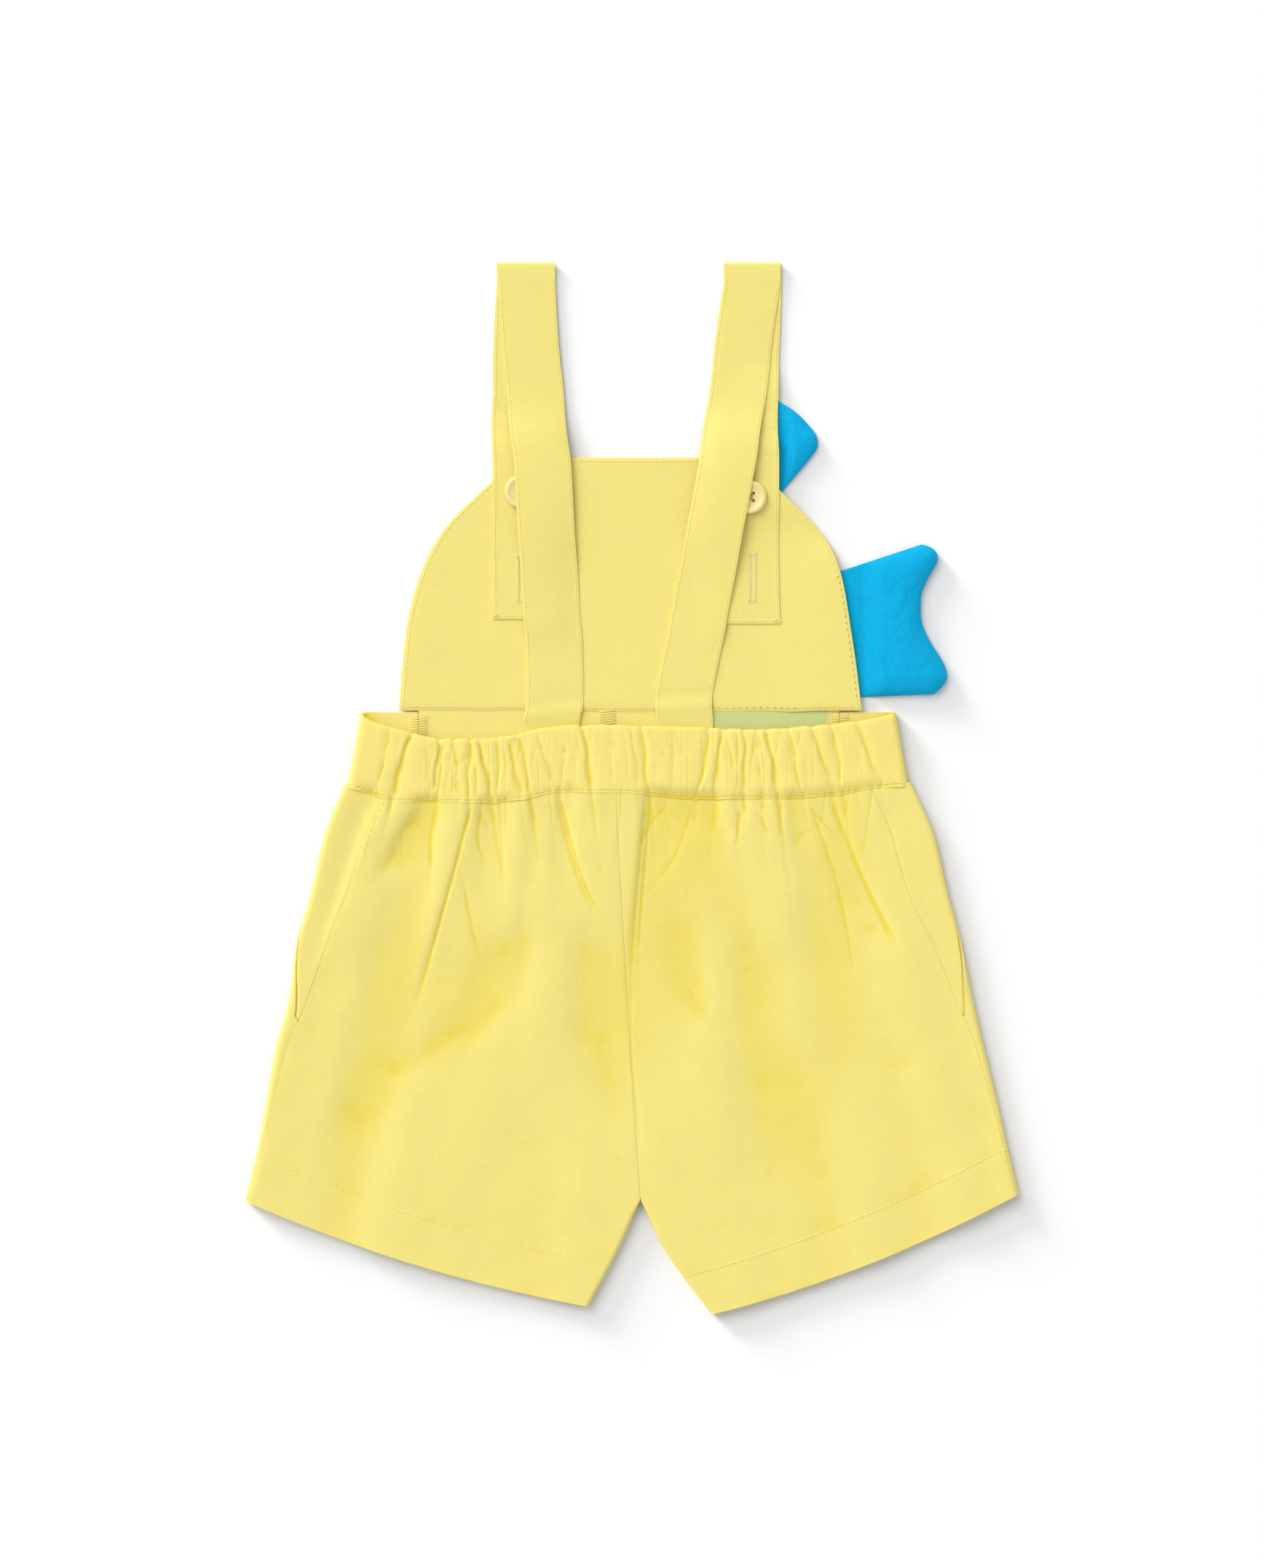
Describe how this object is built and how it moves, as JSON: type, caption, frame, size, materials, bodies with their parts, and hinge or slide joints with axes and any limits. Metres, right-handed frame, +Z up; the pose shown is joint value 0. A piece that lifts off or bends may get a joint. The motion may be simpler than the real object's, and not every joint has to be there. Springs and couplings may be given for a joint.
{
  "type": "baby dungaree shorts romper",
  "caption": "Child's short dungarees in woven cotton, laid flat with the back up: gathered back waist, bib, folded buttoned straps and padded fins at one side.",
  "frame": {"origin": "on the surface that the romper lies on, under the middle of its outline", "axes": "+X across the back to the right, +Y from the leg hems up to the shoulder straps, +Z up from the surface, out of the back"},
  "size_m": [0.3404, 0.4619, 0.0097],
  "materials": {
    "yellow_poplin": "matt plain-weave cotton",
    "button_resin": "smooth, slightly translucent",
    "blue_rib_knit": "fine rib knit"
  },
  "bodies": {
    "root": {"shorts_front_left": "yellow_poplin", "shorts_front_right": "yellow_poplin", "shorts_back_left": "yellow_poplin", "shorts_back_right": "yellow_poplin", "hip_piece_left": "yellow_poplin", "hip_piece_right": "yellow_poplin", "waistband_back": "yellow_poplin", "waistband_front": "yellow_poplin", "bib_outer": "yellow_poplin", "bib_lining": "yellow_poplin", "strap_left": "yellow_poplin", "strap_right": "yellow_poplin", "button_left": "button_resin", "button_right": "button_resin", "fin_upper": "blue_rib_knit", "fin_tail": "blue_rib_knit"}
  },
  "joints": []
}
